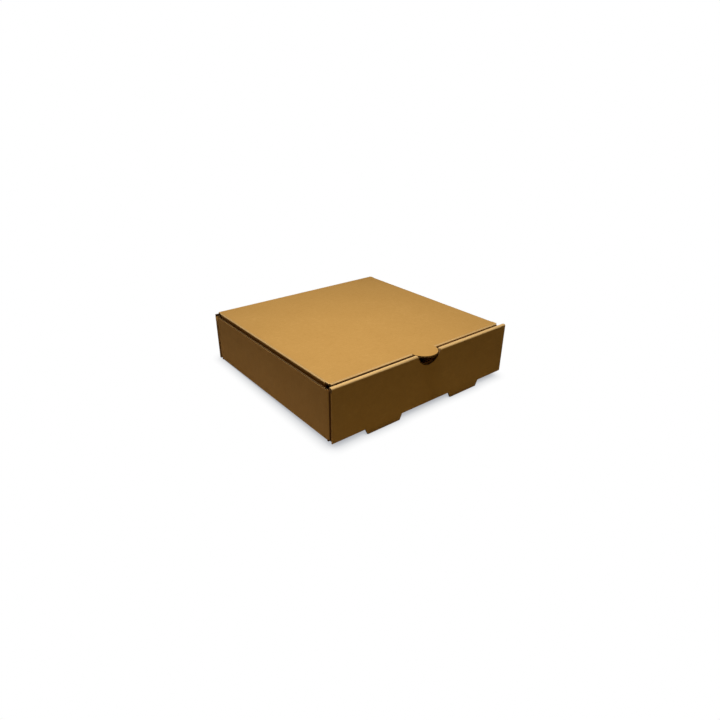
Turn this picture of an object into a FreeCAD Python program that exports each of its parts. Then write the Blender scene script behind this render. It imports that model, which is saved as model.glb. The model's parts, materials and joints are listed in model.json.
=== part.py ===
# Small pizza box die-cut from one sheet of corrugated board and folded up.
# The front wall rolls over and locks down through the base, and the lid tucks in behind it.
# Frame: +Z up, front wall facing -Y, origin at the centre of the base's underside. Millimetres.
import FreeCAD
import Part
import Sketcher

import math
import os
import re
from collections import namedtuple

# Driving sizes: name, value, meaning. All else is worked out from these.
SIZES = [
    ("box_width", "200", "outside, left to right"),
    ("box_depth", "193.3", "outside, front to back"),
    ("front_height", "48.5", "top of the rolled front edge above the base's underside"),
    ("side_drop", "3.9", "side walls below the front edge"),
    ("lid_drop", "0.4", "top of the lid below the front edge"),
    ("board", "1.5", "thickness of the board"),
    ("fold_radius", "1.2", "outside radius of a fold"),
    ("ply_gap", "0.1", "gap between plies that lie together"),
    ("ear_gap", "1", "front and back walls to the ears inside them"),
    ("corner_radius", "3", "outside radius where the side walls turn into the ears"),
    ("roll_depth", "3.7", "rolled front edge, front to back"),
    ("shoulder_drop", "5.5", "front edge down to where the inner ply steps back"),
    ("shoulder_height", "8", "height over which the inner ply steps back"),
    ("shoulder_radius", "25", "bend where the inner ply steps back"),
    ("panel_lift", "0.2", "bottom edge of the inner ply above the base"),
    ("panel_end_gap", "0.4", "ends of the inner ply to the side walls"),
    ("foot_spacing", "96", "between the centres of the two feet"),
    ("foot_root", "38.9", "width of a foot at the base"),
    ("foot_tip", "34.2", "width of a foot at its tip"),
    ("foot_drop", "4.9", "feet below the base"),
    ("lock_tab_gap", "1", "side of a lock tab to the narrow end of its slot"),
    ("lock_tab_taper", "1.2", "a lock tab's tip is narrower at each side by this"),
    ("lock_tab_lift", "0.3", "tip of a lock tab above the base's underside"),
    ("ear_length", "45", "ears, from the side wall inwards"),
    ("ear_lift", "0.5", "root of an ear above the base"),
    ("ear_taper", "5", "an ear's free end is narrower at each edge by this"),
    ("ear_corner", "5", "corner radius of an ear's free end"),
    ("ear_headroom", "1", "front ear below the step in the inner ply"),
    ("rear_ear_drop", "4.3", "rear ear below the top of the side wall"),
    ("hinge_gap", "0.2", "back wall to the underside of the lid"),
    ("side_flap_clearance", "1.3", "lid's side flaps to the side walls"),
    ("side_flap_length", "26", "side flaps below the top of the lid"),
    ("side_flap_lean", "7", "degrees the side flaps lean inwards"),
    ("side_flap_gap", "2", "ends of the side flaps to the flap and ears beside them"),
    ("side_flap_taper", "9", "a side flap's edge is shorter at each end by this"),
    ("side_flap_corner", "9", "corner radius of a side flap"),
    ("corner_tab", "1.1", "lid's corners beyond the fold lines of its side flaps"),
    ("tuck_clearance", "1.1", "tuck flap to the inner ply at the fold"),
    ("tuck_length", "28", "tuck flap below the top of the lid"),
    ("tuck_lean", "5", "degrees the tuck flap leans inwards"),
    ("tuck_end_cut", "2", "root of the tuck flap to the corner of the lid"),
    ("tuck_taper", "5", "the tuck flap's edge is shorter at each end by this"),
    ("tuck_corner", "10", "corner radius of the tuck flap"),
    ("tongue_width", "25.8", "thumb tongue across its root"),
    ("tongue_reach", "11.3", "thumb tongue in front of the lid's fold"),
    ("notch_clearance", "0.4", "side of the tongue to the notch"),
    ("notch_rise", "2.35", "centre of the notch above the front edge"),
]

# Places and sizes that follow from the driving ones, by name.
PLACES = {
    "half_width": "box_width / 2",
    "half_depth": "box_depth / 2",
    "side_height": "front_height - side_drop",
    "lid_top": "front_height - lid_drop",
    "lid_under": "lid_top - board",
    "back_height": "lid_under - hinge_gap",
    "ear_face": "half_depth - board - ear_gap",
    "wall_end": "ear_face - corner_radius",
    "strip_end": "wall_end - board",
    "ear_bottom": "board + ear_lift",
    "ear_root": "half_width - corner_radius - board",
    "ear_end": "half_width - ear_length",
    "shoulder_high": "front_height - shoulder_drop",
    "shoulder_low": "shoulder_high - shoulder_height",
    "front_ear_top": "shoulder_low - ear_headroom",
    "rear_ear_top": "side_height - rear_ear_drop",
    "panel_depth": "3 * board + ear_gap + ply_gap",
    "panel_bottom": "board + panel_lift",
    "shoulder_end": "side_height + panel_end_gap",
    "slot_reach": "foot_drop + board",
    "lock_root": "foot_tip / 2 - lock_tab_gap",
    "lock_tip": "lock_root - lock_tab_taper",
    "notch_radius": "tongue_width / 2 + notch_clearance",
    "lid_half_width": "half_width - board - side_flap_clearance",
    "lid_flat": "lid_half_width - board",
    "lid_front": "-half_depth + panel_depth + tuck_clearance",
    "flap_trim": "board",
    "tuck_sweep": "tuck_length * sin(tuck_lean * 1 deg) + board / cos(tuck_lean * 1 deg)",
    "tuck_bottom": "lid_top - tuck_length",
    "side_flap_bottom": "lid_top - side_flap_length",
    "side_flap_front": "lid_front + tuck_sweep + side_flap_gap",
    "side_flap_rear": "ear_face - board - side_flap_gap",
    "tongue_radius": "(tongue_width ^ 2 / 4 + tongue_reach ^ 2) / (2 * tongue_reach)",
    "cutout_depth": "tongue_reach - board",
    "cutout_radius": "(tongue_width ^ 2 / 4 + cutout_depth ^ 2) / (2 * cutout_depth)",
}

# A feature that changes the solid by less than this, in cubic millimetres, has missed it.
LEAST_CHANGE = 1

# A corner of an outline: its place, a radius if it is rounded there, and a radius if the edge
# that leaves it is an arc that bulges outwards.
Corner = namedtuple("Corner", "across up round arc", defaults=(None, None))

doc = FreeCAD.newDocument("PizzaBox")
sheet = doc.addObject("Spreadsheet::Sheet", "Sizes")
for row, (alias, value, meaning) in enumerate(SIZES, start=1):
    sheet.set(f"A{row}", alias)
    sheet.set(f"B{row}", value)
    sheet.setAlias(f"B{row}", alias)
    sheet.set(f"C{row}", meaning)
doc.recompute()
DRIVING = {alias for alias, value, meaning in SIZES}


def bound(formula):
    """The formula with every place written out in cells of the sheet."""
    def spell(match):
        word = match.group(0)
        if word in PLACES:
            return f"({bound(PLACES[word])})"
        return f"Sizes.{word}" if word in DRIVING else word
    return re.sub(r"[a-z]\w*", spell, formula)


def worth(formula):
    """The formula's value with the sizes that are in the sheet."""
    value = sheet.evalExpression(bound(formula))
    return float(getattr(value, "Value", value))


def new_body(name):
    body = doc.addObject("PartDesign::Body", name)
    body.Label = name
    body.Placement = FreeCAD.Placement()
    return body


def new_sketch(body, name, plane, offset=None):
    """A sketch on one of the body's origin planes, moved along the plane's normal."""
    sketch = body.newObject("Sketcher::SketchObject", name)
    support = next(item for item in body.Origin.OriginFeatures if item.Role == plane)
    sketch.AttachmentSupport = [(support, "")]
    sketch.MapMode = "FlatFace"
    if offset:
        sketch.setExpression("AttachmentOffset.Base.z", bound(offset))
    return sketch


def pin_point(sketch, geometry, point, corner):
    """Dimensions a point from the sketch's origin, both ways."""
    for kind, formula in (("DistanceX", corner.across), ("DistanceY", corner.up)):
        pin = Sketcher.Constraint(kind, -1, 1, geometry, point, worth(formula))
        sketch.setExpression(f"Constraints[{sketch.addConstraint(pin)}]", bound(formula))


def set_radius(sketch, geometry, formula):
    radius = Sketcher.Constraint("Radius", geometry, worth(formula))
    sketch.setExpression(f"Constraints[{sketch.addConstraint(radius)}]", bound(formula))


def arc_between(start, end, radius, clockwise):
    """The short arc from start to end, and the numbers of its first and last points."""
    chord = end - start
    side = FreeCAD.Vector(-chord.y, chord.x, 0).normalize()
    reach = math.sqrt(max(radius ** 2 - (chord.Length / 2) ** 2, 0))
    centre = (start + end) * 0.5 + side * (-reach if clockwise else reach)
    first, last = (end, start) if clockwise else (start, end)
    angles = [math.atan2(point.y - centre.y, point.x - centre.x) for point in (first, last)]
    circle = Part.Circle(centre, FreeCAD.Vector(0, 0, 1), radius)
    return Part.ArcOfCircle(circle, *angles), (2, 1) if clockwise else (1, 2)


def add_outline(sketch, corners):
    """A closed, fully constrained outline through the corners."""
    points = [FreeCAD.Vector(worth(corner.across), worth(corner.up), 0) for corner in corners]
    area = sum(a.x * b.y - b.x * a.y for a, b in zip(points, points[1:] + points[:1]))
    starts, ends = list(points), list(points)
    turns = []
    for index, corner in enumerate(corners):
        before = (points[index - 1] - points[index]).normalize()
        after = (points[(index + 1) % len(points)] - points[index]).normalize()
        turns.append(before.cross(after).z > 0)
        if corner.round:
            half_turn = before.getAngle(after) / 2
            setback = worth(corner.round) / math.tan(half_turn)
            ends[index] = points[index] + before * setback
            starts[index] = points[index] + after * setback
    edges = []
    for index, corner in enumerate(corners):
        start, end = starts[index], ends[(index + 1) % len(points)]
        if corner.arc:
            arc, (first, last) = arc_between(start, end, worth(corner.arc), area < 0)
            edges.append((sketch.addGeometry(arc), first, last))
            set_radius(sketch, edges[-1][0], corner.arc)
        else:
            edges.append((sketch.addGeometry(Part.LineSegment(start, end)), 1, 2))
    for index, corner in enumerate(corners):
        (line_in, _, point_in), (line_out, point_out, _) = edges[index - 1], edges[index]
        if not corner.round:
            sketch.addConstraint(
                Sketcher.Constraint("Coincident", line_in, point_in, line_out, point_out))
            pin_point(sketch, line_out, point_out, corner)
            continue
        arc, (first, last) = arc_between(ends[index], starts[index], worth(corner.round), turns[index])
        bend = sketch.addGeometry(arc)
        tip = sketch.addGeometry(Part.Point(points[index]), True)
        sketch.addConstraint(Sketcher.Constraint("Tangent", line_in, point_in, bend, first))
        sketch.addConstraint(Sketcher.Constraint("Tangent", bend, last, line_out, point_out))
        for line in (line_in, line_out):
            sketch.addConstraint(Sketcher.Constraint("PointOnObject", tip, 1, line))
        pin_point(sketch, tip, 1, corner)
        set_radius(sketch, bend, corner.round)


def mirrored(corners, across=True, up=False):
    """The same corners on the other side of the sketch's axis."""
    flip = [corner._replace(across=f"-({corner.across})") if across else corner for corner in corners]
    return [corner._replace(up=f"-({corner.up})") if up else corner for corner in flip]


def extrude(body, kind, name, sketch, length, backwards=False, both_ways=False):
    """A Pad or Pocket of the sketch. Backwards is against the feature's own direction."""
    before = 0 if body.Shape.isNull() else body.Shape.Volume
    feature = body.newObject(f"PartDesign::{kind}", name)
    feature.Profile = sketch
    feature.SideType = "Symmetric" if both_ways else "One side"
    feature.setExpression("Length", bound(length))
    feature.Reversed = backwards
    doc.recompute()
    added = body.Shape.Volume - before
    if (added if kind == "Pad" else -added) < LEAST_CHANGE:
        raise RuntimeError(f"{name} changed the solid by {added:.3f} mm3")


def add_base_and_side_walls(tray):
    """The channel of base and side walls, folded up along both sides."""
    profile = new_sketch(tray, "ChannelProfile", "XZ_Plane")
    add_outline(profile, [
        Corner("-half_width", "0", round="fold_radius"),
        Corner("half_width", "0", round="fold_radius"),
        Corner("half_width", "side_height"),
        Corner("half_width - board", "side_height"),
        Corner("half_width - board", "board"),
        Corner("board - half_width", "board"),
        Corner("board - half_width", "side_height"),
        Corner("-half_width", "side_height"),
    ])
    extrude(tray, "Pad", "Channel", profile, "2 * wall_end", both_ways=True)


def add_ears(tray):
    """Side walls run on round the corners into ears that lie inside the front and back walls."""
    rounded_end = [
        Corner("half_width", "wall_end - board"),
        Corner("half_width", "ear_face", round="corner_radius"),
        Corner("ear_root", "ear_face"),
        Corner("ear_root", "ear_face - board"),
        Corner("half_width - board", "ear_face - board", round="corner_radius - board"),
        Corner("half_width - board", "wall_end - board"),
    ]
    plan = new_sketch(tray, "WallEndPlan", "XY_Plane", "ear_bottom")
    for across in (False, True):
        for up in (False, True):
            add_outline(plan, mirrored(rounded_end, across, up))
    extrude(tray, "Pad", "WallEnds", plan, "side_height - ear_bottom")

    for name, top, plane_offset, backwards in (("Front", "front_ear_top", "ear_face", True),
                                               ("Rear", "rear_ear_top", "-(ear_face)", False)):
        ear = [
            Corner("ear_root", "ear_bottom"),
            Corner("ear_root", top),
            Corner("ear_end", f"{top} - ear_taper", round="ear_corner"),
            Corner("ear_end", "ear_bottom + ear_taper", round="ear_corner"),
        ]
        shape = new_sketch(tray, f"{name}EarShape", "XZ_Plane", plane_offset)
        add_outline(shape, ear)
        add_outline(shape, mirrored(ear))
        extrude(tray, "Pad", f"{name}Ears", shape, "board", backwards)

    above_ear = [
        Corner("ear_root - board", "-half_depth"),
        Corner("half_width - board", "-half_depth"),
        Corner("half_width - board", "-(strip_end)"),
        Corner("ear_root - board", "-(strip_end)"),
    ]
    passage = new_sketch(tray, "PassagePlan", "XY_Plane", "front_ear_top")
    add_outline(passage, above_ear)
    add_outline(passage, mirrored(above_ear))
    extrude(tray, "Pocket", "InnerPlyPassages", passage, "side_height - front_ear_top", backwards=True)


def add_front_wall(tray):
    """Outer ply, rolled edge and the inner ply that steps back over the ears."""
    roll = new_sketch(tray, "RollProfile", "YZ_Plane")
    add_outline(roll, [
        Corner("-(strip_end)", "0"),
        Corner("-half_depth", "0", round="fold_radius"),
        Corner("-half_depth", "front_height", round="fold_radius"),
        Corner("roll_depth - half_depth", "front_height", round="fold_radius"),
        Corner("roll_depth - half_depth", "shoulder_end"),
        Corner("roll_depth - board - half_depth", "shoulder_end"),
        Corner("roll_depth - board - half_depth", "front_height - board"),
        Corner("board - half_depth", "front_height - board"),
        Corner("board - half_depth", "board"),
        Corner("-(strip_end)", "board"),
    ])
    extrude(tray, "Pad", "OuterPly", roll, "box_width", both_ways=True)

    panel = new_sketch(tray, "InnerPlyProfile", "YZ_Plane")
    add_outline(panel, [
        Corner("roll_depth - half_depth", "front_height - board"),
        Corner("roll_depth - half_depth", "shoulder_high", round="shoulder_radius"),
        Corner("panel_depth - half_depth", "shoulder_low", round="shoulder_radius + board"),
        Corner("panel_depth - half_depth", "panel_bottom"),
        Corner("panel_depth - board - half_depth", "panel_bottom"),
        Corner("panel_depth - board - half_depth", "shoulder_low", round="shoulder_radius"),
        Corner("roll_depth - board - half_depth", "shoulder_high", round="shoulder_radius + board"),
        Corner("roll_depth - board - half_depth", "front_height - board"),
    ])
    extrude(tray, "Pad", "InnerPly", panel, "box_width - 2 * (board + panel_end_gap)", both_ways=True)


def add_back_wall(tray):
    profile = new_sketch(tray, "BackWallProfile", "YZ_Plane")
    add_outline(profile, [
        Corner("strip_end", "0"),
        Corner("half_depth", "0", round="fold_radius"),
        Corner("half_depth", "back_height"),
        Corner("half_depth - board", "back_height"),
        Corner("half_depth - board", "board"),
        Corner("strip_end", "board"),
    ])
    extrude(tray, "Pad", "BackWall", profile, "box_width", both_ways=True)


def cut_corner_reliefs(tray):
    """Small openings in the base's corners, where the folds of three panels meet."""
    relief = [
        Corner("half_width - board", "wall_end"),
        Corner("half_width + board", "wall_end"),
        Corner("half_width + board", "half_depth - board"),
        Corner("half_width - board", "half_depth - board"),
    ]
    plan = new_sketch(tray, "ReliefPlan", "XY_Plane")
    for across in (False, True):
        for up in (False, True):
            add_outline(plan, mirrored(relief, across, up))
    extrude(tray, "Pocket", "CornerReliefs", plan, "ear_bottom", backwards=True)


def trapezoid(centre, wide, wide_at, narrow, narrow_at):
    """Half widths at two levels of the sketch, about a centre line."""
    return [
        Corner(f"{centre} - ({wide})", wide_at),
        Corner(f"{centre} + ({wide})", wide_at),
        Corner(f"{centre} + ({narrow})", narrow_at),
        Corner(f"{centre} - ({narrow})", narrow_at),
    ]


def add_feet_and_lock_tabs(tray):
    """Feet cut out of the base stay in line with the front, and leave the lock tabs' slots."""
    slots = new_sketch(tray, "SlotPlan", "XY_Plane")
    feet = new_sketch(tray, "FootShape", "XZ_Plane", "half_depth")
    tabs = new_sketch(tray, "LockTabShape", "XZ_Plane", "half_depth - panel_depth + board")
    for centre in ("-foot_spacing / 2", "foot_spacing / 2"):
        add_outline(slots, trapezoid(centre, "foot_root / 2", "board - half_depth",
                                     "foot_tip / 2", "slot_reach - half_depth"))
        foot = trapezoid(centre, "foot_tip / 2", "-foot_drop", "foot_root / 2", "0")
        root = [
            Corner(f"{centre} + foot_root / 2", "board"),
            Corner(f"{centre} - foot_root / 2", "board"),
        ]
        add_outline(feet, foot[:3] + root + foot[3:])
        add_outline(tabs, trapezoid(centre, "lock_root", "panel_bottom + board",
                                    "lock_tip", "lock_tab_lift"))
    extrude(tray, "Pocket", "LockSlots", slots, "board", backwards=True)
    extrude(tray, "Pad", "Feet", feet, "board", backwards=True)
    extrude(tray, "Pad", "LockTabs", tabs, "board", backwards=True)


def cut_thumb_notch(tray):
    """One round hole across the rolled edge leaves a half-round notch in both plies."""
    hole = new_sketch(tray, "NotchCircle", "XZ_Plane")
    centre = Corner("0", "front_height + notch_rise")
    middle = FreeCAD.Vector(worth(centre.across), worth(centre.up), 0)
    circle = Part.Circle(middle, FreeCAD.Vector(0, 0, 1), worth("notch_radius"))
    rim = hole.addGeometry(circle)
    hole.addConstraint(Sketcher.Constraint("PointOnObject", rim, 3, -2))
    height = Sketcher.Constraint("DistanceY", -1, 1, rim, 3, worth(centre.up))
    hole.setExpression(f"Constraints[{hole.addConstraint(height)}]", bound(centre.up))
    set_radius(hole, rim, "notch_radius")
    extrude(tray, "Pocket", "ThumbNotch", hole, "box_depth", backwards=True)


def leaning_flap(fold, length, lean, sign):
    """Corners of a flap that hangs from a fold and leans towards the box's middle."""
    reach = f"({length} + flap_trim)"
    inwards = f"{sign} sin({lean} * 1 deg)"
    across = f"{sign} cos({lean} * 1 deg)"
    return [
        Corner(fold, "lid_top", round="fold_radius"),
        Corner(f"{fold} {inwards} * {reach}", f"lid_top - cos({lean} * 1 deg) * {reach}"),
        Corner(f"{fold} {inwards} * {reach} {across} * board",
               f"lid_top - cos({lean} * 1 deg) * {reach} + sin({lean} * 1 deg) * board"),
        Corner(f"{fold} {across} * board / cos({lean} * 1 deg) ^ 2 * (1 + sin({lean} * 1 deg))",
               "lid_under"),
    ]


def trim_outline(low, high, taper, corner, bottom, margin):
    """What is cut away round a flap: both ends and the bottom edge, with rounded corners."""
    return [
        Corner(f"{low} - {margin}", "lid_under"),
        Corner(low, "lid_under"),
        Corner(f"{low} + {taper}", bottom, round=corner),
        Corner(f"{high} - {taper}", bottom, round=corner),
        Corner(high, "lid_under"),
        Corner(f"{high} + {margin}", "lid_under"),
        Corner(f"{high} + {margin}", f"{bottom} - 2 * flap_trim"),
        Corner(f"{low} - {margin}", f"{bottom} - 2 * flap_trim"),
    ]


def add_side_flaps(lid):
    """Flaps that hang inside the side walls, one at each side of the lid."""
    profile = new_sketch(lid, "SideFlapProfile", "XZ_Plane", "-(side_flap_front)")
    right = leaning_flap("lid_half_width", "side_flap_length", "side_flap_lean", "-")
    add_outline(profile, right + mirrored(right)[::-1])
    extrude(lid, "Pad", "SideFlaps", profile, "side_flap_rear - (side_flap_front)", backwards=True)

    trim = new_sketch(lid, "SideFlapTrim", "YZ_Plane")
    add_outline(trim, trim_outline("side_flap_front", "side_flap_rear", "side_flap_taper",
                                   "side_flap_corner", "side_flap_bottom", "board"))
    extrude(lid, "Pocket", "SideFlapEnds", trim, "box_width", both_ways=True)


def add_panel_and_tuck_flap(lid):
    """The lid's panel, from its fold at the back wall to the tuck flap at the front."""
    profile = new_sketch(lid, "LidProfile", "YZ_Plane")
    add_outline(profile, leaning_flap("lid_front", "tuck_length", "tuck_lean", "+") + [
        Corner("half_depth", "lid_under"),
        Corner("half_depth", "lid_top", round="fold_radius"),
    ])
    extrude(lid, "Pad", "LidPanel", profile, "2 * lid_flat", both_ways=True)

    trim = new_sketch(lid, "TuckFlapTrim", "XZ_Plane", "-(lid_front)")
    add_outline(trim, trim_outline("tuck_end_cut - lid_flat", "lid_flat - tuck_end_cut", "tuck_taper",
                                   "tuck_corner", "tuck_bottom", "tuck_end_cut"))
    extrude(lid, "Pocket", "TuckFlapEnds", trim, "tuck_sweep + side_flap_gap / 2")


def add_corner_tabs(lid):
    """The panel's corners run on past the fold lines, beyond both ends of each side flap."""
    plan = new_sketch(lid, "CornerTabPlan", "XY_Plane", "lid_under")
    for low, high in (("lid_front + fold_radius", "side_flap_front"),
                      ("side_flap_rear", "half_depth - fold_radius")):
        tab = [
            Corner("lid_flat - board", low),
            Corner("lid_flat + corner_tab", low),
            Corner("lid_flat + corner_tab", high),
            Corner("lid_flat - board", high),
        ]
        add_outline(plan, tab)
        add_outline(plan, mirrored(tab))
    extrude(lid, "Pad", "CornerTabs", plan, "board")


def add_tongue(lid):
    """The thumb tongue stays level with the lid and leaves its shape in the tuck flap."""
    cutout = new_sketch(lid, "TongueCutout", "XZ_Plane", "-(lid_front)")
    add_outline(cutout, [
        Corner("-tongue_width / 2", "lid_under", arc="cutout_radius"),
        Corner("tongue_width / 2", "lid_under"),
    ])
    extrude(lid, "Pocket", "TuckFlapCutout", cutout, "tuck_sweep + side_flap_gap / 2")

    plan = new_sketch(lid, "TonguePlan", "XY_Plane", "lid_under")
    add_outline(plan, [
        Corner("-tongue_width / 2", "lid_front", arc="tongue_radius"),
        Corner("tongue_width / 2", "lid_front"),
        Corner("tongue_width / 2", "lid_front + 2 * board"),
        Corner("-tongue_width / 2", "lid_front + 2 * board"),
    ])
    extrude(lid, "Pad", "Tongue", plan, "board")


def build_tray():
    tray = new_body("tray")
    add_base_and_side_walls(tray)
    add_ears(tray)
    add_front_wall(tray)
    add_back_wall(tray)
    cut_corner_reliefs(tray)
    add_feet_and_lock_tabs(tray)
    cut_thumb_notch(tray)
    return tray


def build_lid():
    lid = new_body("lid")
    add_side_flaps(lid)
    add_panel_and_tuck_flap(lid)
    add_corner_tabs(lid)
    add_tongue(lid)
    return lid


def check_document():
    """Stops at any object that failed and any sketch that isn't fully constrained."""
    for item in doc.Objects:
        if "Invalid" in item.State or "Error" in item.State:
            raise RuntimeError(f"{item.Name} failed: {item.State}")
        if item.TypeId == "Sketcher::SketchObject" and not item.FullyConstrained:
            raise RuntimeError(f"{item.Name} isn't fully constrained")


def write_parts(bodies):
    os.makedirs("parts", exist_ok=True)
    for body in bodies:
        if body.Shape.isNull() or not body.Shape.isValid() or len(body.Shape.Solids) != 1:
            raise RuntimeError(f"{body.Label} isn't one valid solid")
        print(f"{body.Label}: {body.Shape.Volume:.0f} mm3, {len(body.Shape.Faces)} faces")
    for body in bodies:
        body.Shape.exportStep(f"parts/{body.Label}.step")


box = [build_tray(), build_lid()]
doc.recompute()
check_document()
write_parts(box)
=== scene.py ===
"""Looks, light and camera for a small pizza box of corrugated board, on a white floor."""

import json
import math

import bmesh
import bpy
from mathutils import Matrix, Vector

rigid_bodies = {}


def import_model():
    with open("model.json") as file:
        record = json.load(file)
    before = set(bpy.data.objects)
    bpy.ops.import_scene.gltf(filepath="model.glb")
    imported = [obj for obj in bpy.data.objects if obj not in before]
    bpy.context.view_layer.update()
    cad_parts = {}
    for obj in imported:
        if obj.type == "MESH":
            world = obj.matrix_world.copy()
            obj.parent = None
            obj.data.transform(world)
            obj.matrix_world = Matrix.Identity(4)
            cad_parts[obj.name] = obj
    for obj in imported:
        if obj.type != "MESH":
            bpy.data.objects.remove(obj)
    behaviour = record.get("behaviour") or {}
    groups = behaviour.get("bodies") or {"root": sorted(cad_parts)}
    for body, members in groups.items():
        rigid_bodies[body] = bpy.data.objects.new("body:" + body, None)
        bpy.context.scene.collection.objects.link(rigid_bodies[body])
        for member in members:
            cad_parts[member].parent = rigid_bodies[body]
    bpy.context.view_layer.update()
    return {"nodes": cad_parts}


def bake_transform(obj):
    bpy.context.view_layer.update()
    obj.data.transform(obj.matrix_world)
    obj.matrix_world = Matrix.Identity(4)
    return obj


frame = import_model()

MM = 0.001
X, Y, Z = Vector((1, 0, 0)), Vector((0, 1, 0)), Vector((0, 0, 1))

# Sizes of the folded board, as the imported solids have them, in millimetres.
BOARD = 1.5
FOLD_RADIUS = 1.2
HALF_WIDTH = 100.0
HALF_DEPTH = 96.65
FRONT_TOP = 48.5
SIDE_TOP = 44.6
BACK_TOP = 46.4
ROLL_DEPTH = 3.7
WALL_END = 91.15
CORNER_RADIUS = 3.0
EAR_FACE = 94.15
EAR_ROOT = 95.5
EAR_END = 55.0
EAR_TOP = 40.3
EAR_TOP_AT_END = 35.3
NOTCH_CENTRE = 50.85
NOTCH_RADIUS = 13.3
FOOT_SPACING = 96.0
FOOT_ROOT = 38.9
FOOT_TIP = 34.2
FOOT_DROP = 4.9
FOOT_BACK = BOARD - HALF_DEPTH
LID_TOP = 48.1
LID_UNDER = LID_TOP - BOARD
LID_SIDE = 97.2
LID_FLAT = LID_SIDE - BOARD
LID_TAB = LID_FLAT + 1.1
LID_FRONT = -89.95
TONGUE_RADIUS = 13.013
TONGUE_END = -101.25
TUCK_LEAN = math.radians(5)
TUCK_BOTTOM = 20.1
TUCK_END_CUT = 2.0
TUCK_TAPER = 5.0
TUCK_CORNER = 10.0
SIDE_FLAP_LEAN = math.radians(7)
SIDE_FLAP_FRONT = -84.0
SIDE_FLAP_REAR = 90.65
SIDE_FLAP_BOTTOM = 22.1
SIDE_FLAP_TAPER = 9.0
SIDE_FLAP_CORNER = 9.0

# Slack for tests that ask on which side of a face a point lies, in millimetres.
HAIR = 0.05

# Corrugation, in millimetres: pitch of the flutes, the papers' thicknesses, the least height at
# an opening's ends, how deep a cut edge is open, and how far a cutter stands past the edge.
PITCH = 3.3
LINER = 0.22
MEDIUM = 0.2
LEAST_GAP = 0.12
OPEN_DEPTH = 3.0
OVERSHOOT = 0.5

# How much of half a pitch has to fit on the edge each way for an opening to be cut.
FITTING_SHARE = 0.8

# What the die left of openings that it pressed, at the front wall's ends and round the corners,
# and the angles round a corner at which they lie, in degrees.
END_CRUSH = 0.35
CORNER_CRUSH = 0.8
CORNER_OPENINGS = (24, 66)

# The bare flute on the back wall's top edge, beside each end of the hinge.
GROOVE_DEPTH = 2.6
GROOVE_START = LID_FLAT + 0.3

# Where the edges have open flutes: heights on the walls and feet, places along the ears and the
# lid, and distances from the fold on the tuck flap.
FRONT_SPAN = (2.0, 46.5)
BACK_SPAN = (2.0, BACK_TOP - GROOVE_DEPTH - 0.3)
NOTCH_SPAN = (NOTCH_CENTRE - NOTCH_RADIUS + 0.4, 46.8)
FOOT_SPAN = (0.3 - FOOT_DROP, 0.2)
EAR_SPAN = (EAR_END + 5, EAR_ROOT - 0.5)
TONGUE_SPAN = (TONGUE_END + 0.5, LID_FRONT - 0.5)
FRONT_TAB_SPAN = (LID_FRONT + FOLD_RADIUS, SIDE_FLAP_FRONT)
BACK_TAB_SPAN = (SIDE_FLAP_REAR, HALF_DEPTH - FOLD_RADIUS)
SIDE_FLAP_SPAN = (SIDE_FLAP_FRONT + 9.5, SIDE_FLAP_REAR - 9.5)
TUCK_SPAN = (3.5, 27.0)

# A face counts as a cut edge where the board behind it is deeper than this. The ray that measures
# it starts a little inside.
CUT_EDGE_DEPTH = 4.2
RAY_START = 0.02

# The crease at the hinge, in millimetres: how far it stands off the board, its lower and front
# ends, the heights of its points on the back wall's outside and inside, the steps round its bend,
# and on the inside the gaps to its points under the lid and the place of its blunt corner.
CREASE_PROUD = 0.03
CREASE_BOTTOM = 43.0
CREASE_FRONT = HALF_DEPTH - 4.5
CREASE_BEND_FRONT = HALF_DEPTH - 2.5
CREASE_OUTER_HEIGHTS = [CREASE_BOTTOM, 45.0] + [BACK_TOP + 0.1 * step for step in range(5)]
CREASE_INNER_HEIGHTS = [46.4, 46.0, 45.6, 45.2, 44.7, CREASE_BOTTOM]
CREASE_INNER_GAPS = [1.6, 1.1, 0.7]
CREASE_INNER_CORNER = (0.35, 0.02)
CREASE_BENDS = 10

# Points along the crease, its half length, and the angle from which its edges stay sharp.
CREASE_STATIONS = 25
CREASE_HALF_LENGTH = LID_FLAT - HAIR
CREASE_SHARP = math.radians(40)

# Folds, where the paper is worn pale and where that paleness also stands in as a painted highlight along
# the rolled edge and the lid's edges: two axes, the place on each in millimetres, how far the wear and
# highlight reach, and half the width in the middle that has no fold. Across is mirrored.
TRAY_FOLDS = [
    (0, HALF_WIDTH, 2, 0.0, 2.0, 0),
    (1, HALF_DEPTH, 2, 0.0, 2.0, 0),
    (1, -HALF_DEPTH, 2, FRONT_TOP, 1.8, 0),
    (1, ROLL_DEPTH - HALF_DEPTH, 2, FRONT_TOP, 1.8, 0),
    (1, ROLL_DEPTH / 2 - HALF_DEPTH, 2, FRONT_TOP, 2.5, 0),
]
LID_FOLDS = [
    (0, LID_SIDE, 2, LID_TOP, 2.0, 0),
    (1, LID_FRONT, 2, LID_TOP, 2.0, 12.9),
    (1, HALF_DEPTH, 2, LID_TOP, 1.4, 0),
]

# Shade in the slits behind the round corners: from which depth on it shows on the board's faces
# and on its cut edges, and how softly it starts.
SLIT_FROM_ON_FACES = WALL_END + 0.9
SLIT_FROM_ON_EDGES = WALL_END - 1.6
SLIT_FADE = 0.6

# Shade on the tuck flap, in the gap before the roll: how far under the lid's top it comes in and
# goes out, how far behind the fold it reaches, and how dark it is.
GAP_COMES_IN = (0.7, 1.3)
GAP_GOES_OUT = (4.0, 6.0)
GAP_REACH = 0.9
GAP_SHADE = 0.9
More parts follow.
